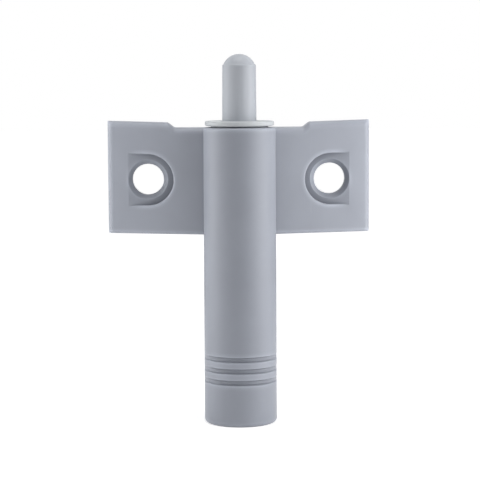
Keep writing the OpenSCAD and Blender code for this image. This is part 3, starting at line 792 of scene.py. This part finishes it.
def foam_tree():
    """Foam tube whose skin is dented by cells."""
    tree, given, out = geometry_tree("Foam tube", [
        ("Float", "Middle Radius"), ("Float", "Wall"), ("Float", "Length"), ("Float", "Rounding"),
        ("Float", "Mesh Step"), ("Float", "Cell Scale"), ("Float", "Pit"), ("Vector", "Middle"),
        ("Material", "Material")])
    path = add(tree, "GeometryNodeCurvePrimitiveCircle", {"Resolution": FOAM_POINTS,
                                                          "Radius": given["Middle Radius"]})
    section = add(tree, "GeometryNodeCurvePrimitiveQuadrilateral", {"Width": given["Wall"],
                                                                    "Height": given["Length"]})
    soft = add(tree, "GeometryNodeFilletCurve", {"Curve": section, "Radius": given["Rounding"],
                                                 "Count": FOAM_CORNER_POINTS}, mode="POLY")
    fine = add(tree, "GeometryNodeResampleCurve", {"Curve": soft, "Length": given["Mesh Step"]},
               mode="LENGTH")
    tube = add(tree, "GeometryNodeCurveToMesh", {"Curve": path, "Profile Curve": fine})
    cells = add(tree, "ShaderNodeTexVoronoi", {"Scale": given["Cell Scale"]})
    pit = add(tree, "ShaderNodeMapRange", {"Value": cells, "From Max": 0.5, "To Min": given["Pit"],
                                           "To Max": 0.0}, interpolation_type="SMOOTHSTEP")
    normal = add(tree, "GeometryNodeInputNormal")
    bulge = add(tree, VECTOR_MATH, {0: normal, "Scale": pit}, operation="SCALE")
    dent = add(tree, VECTOR_MATH, {0: bulge, "Scale": -1.0}, operation="SCALE")
    dented = add(tree, "GeometryNodeSetPosition", {"Geometry": tube, "Offset": dent})
    placed = add(tree, "GeometryNodeTransform", {"Geometry": dented, "Translation": given["Middle"]})
    return finish_tree(tree, given, out, placed)


class DAMPER_OT_make_spring(bpy.types.Operator):
    """Winds the return spring, which shortens as the plunger is pushed in"""
    bl_idname = "damper.make_spring"
    bl_label = "Make spring"

    def execute(self, context):
        sizes = context.scene.damper_cartridge
        material = drawn_steel("spring_wire_drawn", 4 * MM, 0.22, 0.34)
        wire = sizes.wire_diameter / 2
        span = SPRING_HIGH.z - SPRING_LOW.z
        closed = sizes.end_spacing * sizes.wire_diameter
        spring = mesh_object("return_spring_coil", lambda shape: None)
        with_nodes(spring, spring_tree(), {
            "Turns": sizes.spring_turns, "Coil": SPRING_HIGH.x - wire, "Wire": wire, "Closed Rise": closed,
            "Open Rise": span - sizes.wire_diameter - 2 * closed, "Foot": (0, AXIS_Y, SPRING_LOW.z + wire),
            "Material": material})
        dressed(smoothed(spring), "holder", "return_spring", material)
        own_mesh(spring)
        return {"FINISHED"}


class DAMPER_OT_make_foam(bpy.types.Operator):
    """Makes the foam tube that takes up the oil which the rod displaces"""
    bl_idname = "damper.make_foam"
    bl_label = "Make foam"

    def execute(self, context):
        sizes = context.scene.damper_cartridge
        material = closed_cell_foam()
        wall = FOAM_HIGH.x - sizes.foam_bore
        foam = mesh_object("compensator_foam_tube", lambda shape: None)
        with_nodes(foam, foam_tree(), {
            "Middle Radius": sizes.foam_bore + wall / 2, "Wall": wall, "Length": FOAM_HIGH.z - FOAM_LOW.z,
            "Rounding": sizes.foam_rounding, "Mesh Step": FOAM_STEP, "Cell Scale": per_metre(sizes.foam_cell),
            "Pit": sizes.foam_pit, "Middle": (0, AXIS_Y, (FOAM_LOW.z + FOAM_HIGH.z) / 2),
            "Material": material})
        dressed(smoothed(foam), "holder", "compensator_foam", material)
        return {"FINISHED"}


class DAMPER_OT_finish_inner_pieces(bpy.types.Operator):
    """Gives the packed pieces inside the cartridge their materials"""
    bl_idname = "damper.finish_inner_pieces"
    bl_label = "Finish inner pieces"

    def execute(self, context):
        finishes = context.scene.damper_finishes
        natural = moulded_acetal("acetal_moulded_natural", finishes.inner)
        grey = moulded_acetal("acetal_moulded_grey", finishes.sleeve)
        rubber = nitrile_rubber()
        pressed = drawn_steel("steel_pressed", 0.4 * MM, 0.3, 0.45)
        chosen = {
            "sleeve": grey, "cylinder_tube": natural, "rod_guide": natural, "stop_washer": natural,
            "piston": natural, "piston_ring": filled_plastic(), "guide_o_ring": rubber, "rod_seal": rubber,
            "piston_rod": drawn_steel("rod_steel_ground", 2 * MM, 0.14, 0.24), "check_disc": pressed,
            "push_nut": pressed}
        for node, material in chosen.items():
            for slot in frame["nodes"][node].material_slots:
                slot.material = material
        return {"FINISHED"}


# Stage


def seen(tree):
    """One for rays of the camera, of gloss and through glass, which see the white background, and nought for
    other rays."""
    rays = add(tree, "ShaderNodeLightPath").outputs
    mirrored = add(tree, MATH, {0: rays["Is Glossy Ray"], 1: rays["Is Transmission Ray"]},
                   operation="MAXIMUM")
    return add(tree, MATH, {0: rays["Is Camera Ray"], 1: mirrored}, operation="MAXIMUM")


def white_paper():
    """Matt white paper. It glows for the rays that see the background, and less so near the object, where the
    lamps light it too, so that it looks evenly white and leaves outlines crisp."""
    material, tree, shader, place = new_material("paper_white_matt")
    away = add(tree, VECTOR_MATH, {0: place}, operation="LENGTH")
    glow = add(tree, "ShaderNodeMapRange", {"Value": away, "From Min": 0.05, "From Max": 0.3,
                                            "To Min": 0.56, "To Max": 1.0})
    strength = add(tree, MATH, {0: glow, 1: seen(tree)}, operation="MULTIPLY")
    feed(tree, shader, {"Base Color": linear("E6E6E6"), "Roughness": 0.9, "Specular IOR Level": 0.0,
                        "Emission Color": linear("FFFFFF"), "Emission Strength": strength})
    return material


def black_card():
    """Matt black card, which gives no light back."""
    material, tree, shader, place = new_material("card_black_matt")
    feed(tree, shader, {"Base Color": linear("000000"), "Roughness": 0.9, "Specular IOR Level": 0.0})
    return material


def beside(azimuth, distance, lift=0.0):
    """Place round the object's middle, at an angle in degrees to the right of the front."""
    turn = math.radians(azimuth)
    return STAGE_MIDDLE + Vector((distance * math.sin(turn), -distance * math.cos(turn), lift))


def stage_sheet(name, corners, material):
    """Flat sheet that belongs to the stage."""
    sheet = mesh_object(name, lambda shape: shape.faces.new([shape.verts.new(corner) for corner in corners]))
    sheet.data.materials.append(material)
    return sheet


def soft_box(name, azimuth, distance, lift, width, height, power):
    """Rectangular lamp that faces the object, with its lengths in metres and its power in watts."""
    data = bpy.data.lights.new(name, "AREA")
    data.shape = "RECTANGLE"
    data.size = width
    data.size_y = height
    data.energy = power
    lamp = bpy.data.objects.new(name, data)
    bpy.context.scene.collection.objects.link(lamp)
    lamp.visible_camera = False
    lamp.location = beside(azimuth, distance, lift)
    lamp.rotation_mode = "QUATERNION"
    lamp.rotation_quaternion = (STAGE_MIDDLE - lamp.location).to_track_quat("-Z", "Y")
    return lamp


def dark_flag(name, azimuth, distance, width, height, material):
    """Upright dark card at the back, which gloss alone sees: it keeps round sides from paling."""
    turn = math.radians(azimuth)
    along = Vector((math.cos(turn), math.sin(turn), 0)) * width / 2
    up = Vector((0, 0, height / 2))
    middle = beside(azimuth, distance)
    corners = [middle + p for p in (-along - up, along - up, along + up, -along + up)]
    card = stage_sheet(name, corners, material)
    card.visible_camera = False
    card.visible_diffuse = False
    card.visible_shadow = False


class DAMPER_OT_set_stage(bpy.types.Operator):
    """Sets the floor, the lamps, the world and the camera"""
    bl_idname = "damper.set_stage"
    bl_label = "Set stage"

    def execute(self, context):
        scene = context.scene
        scene.view_settings.view_transform = "Standard"
        floor = self.make_floor()
        self.make_lamps(floor)
        self.make_world(scene)
        self.make_camera(scene)
        return {"FINISHED"}

    def make_floor(self):
        """White floor under the barrel's closed end."""
        corners = ((-1, -1), (1, -1), (1, 1), (-1, 1))
        return stage_sheet("floor", [(x * FLOOR_HALF, y * FLOOR_HALF, HOLDER_LOW.z) for x, y in corners],
                           white_paper())

    def make_lamps(self, floor):
        """Panels and strips at both sides, a small lamp beside each wing's tip, a wide lamp overhead, a slim
        panel behind that leaves the floor out, and two dark cards."""
        soft_box("left_panel", -97, 0.18, 0.0, 0.12, 0.30, 0.245)
        soft_box("right_panel", 68, 0.18, 0.0, 0.20, 0.30, 0.41)
        soft_box("left_strip", -55, 0.08, 0.0, 0.04, 0.20, 0.024)
        soft_box("right_strip", 58, 0.08, 0.0, 0.04, 0.20, 0.020)
        soft_box("left_card", -80, 0.05, 0.005, 0.02, 0.08, 0.0080)
        soft_box("right_card", 80, 0.05, 0.005, 0.02, 0.08, 0.0085)
        soft_box("overhead_lamp", 0, 0.01, 0.25, 0.14, 0.14, 0.34)
        behind = soft_box("back_panel", 180, 0.20, -0.05, 0.10, 0.08, 0.30)
        behind.visible_glossy = False
        unlit = bpy.data.collections.new("not_lit_from_behind")
        unlit.objects.link(floor)
        unlit.collection_objects[0].light_linking.link_state = "EXCLUDE"
        behind.light_linking.receiver_collection = unlit
        black = black_card()
        dark_flag("left_flag", -158, 0.15, 0.07, 0.20, black)
        dark_flag("right_flag", 147, 0.15, 0.10, 0.20, black)

    def make_world(self, scene):
        """White surroundings that fill the shadows a little; the camera sees them as white."""
        world = bpy.data.worlds.new("white_surroundings")
        world.use_nodes = True
        scene.world = world
        tree = world.node_tree
        back = tree.nodes["Background"]
        strength = add(tree, "ShaderNodeMapRange", {"Value": seen(tree), "To Min": 0.02, "To Max": 1.0})
        feed(tree, back, {"Color": linear("FFFFFF"), "Strength": strength})

    def make_camera(self, scene):
        """Camera at the photograph's place: a little above the middle and to the left, with a long lens."""
        aim = Vector((0, AXIS_Y, -10.41 * MM))
        distance = 309 * MM
        pitch, yaw, roll = math.radians(5.5), math.radians(1.5), math.radians(-0.31)
        image_side, pixels_per_metre, sensor = 480, 5730, 36.0
        data = bpy.data.cameras.new("camera")
        data.sensor_width = sensor
        data.lens = pixels_per_metre * distance * sensor / image_side
        data.clip_start = 0.01
        camera = bpy.data.objects.new("camera", data)
        scene.collection.objects.link(camera)
        away = Vector((-math.cos(pitch) * math.sin(yaw), -math.cos(pitch) * math.cos(yaw), math.sin(pitch)))
        camera.location = aim + away * distance
        camera.rotation_mode = "QUATERNION"
        camera.rotation_quaternion = (-away).to_track_quat("-Z", "Y") @ Quaternion((0, 0, 1), roll)
        scene.camera = camera


class DAMPER_PT_parts(bpy.types.Panel):
    """Lists the damper's sizes, colours and builders"""
    bl_idname = "DAMPER_PT_parts"
    bl_label = "Cabinet door damper"
    bl_space_type = "VIEW_3D"
    bl_region_type = "UI"
    bl_category = "Damper"

    def draw(self, context):
        for name, group in GROUPS.items():
            column = self.layout.column(heading=group.__doc__)
            for field in group.__annotations__:
                column.prop(getattr(context.scene, name), field)
        for operator in OPERATORS:
            self.layout.operator(operator.bl_idname)


GROUPS = {"damper_holder": HolderSizes, "damper_cartridge": CartridgeSizes, "damper_finishes": Finishes}
OPERATORS = (DAMPER_OT_make_holder, DAMPER_OT_make_cartridge, DAMPER_OT_make_spring, DAMPER_OT_make_foam,
             DAMPER_OT_finish_inner_pieces, DAMPER_OT_set_stage)


def register():
    """Registers the classes and hangs the property groups on the scene."""
    for group in GROUPS.values():
        bpy.utils.register_class(group)
    for name, group in GROUPS.items():
        setattr(bpy.types.Scene, name, PointerProperty(type=group))
    for operator in OPERATORS:
        bpy.utils.register_class(operator)
    bpy.utils.register_class(DAMPER_PT_parts)


def unregister():
    """Takes back what register does."""
    bpy.utils.unregister_class(DAMPER_PT_parts)
    for operator in reversed(OPERATORS):
        bpy.utils.unregister_class(operator)
    for name, group in GROUPS.items():
        delattr(bpy.types.Scene, name)
        bpy.utils.unregister_class(group)


def main():
    """Builds everything in order and writes the two boxes."""
    register()
    bpy.ops.damper.make_holder()
    bpy.ops.damper.make_cartridge()
    bpy.ops.damper.make_spring()
    bpy.ops.damper.make_foam()
    bpy.ops.damper.finish_inner_pieces()
    bpy.ops.damper.set_stage()


if __name__ == "__main__":
    main()
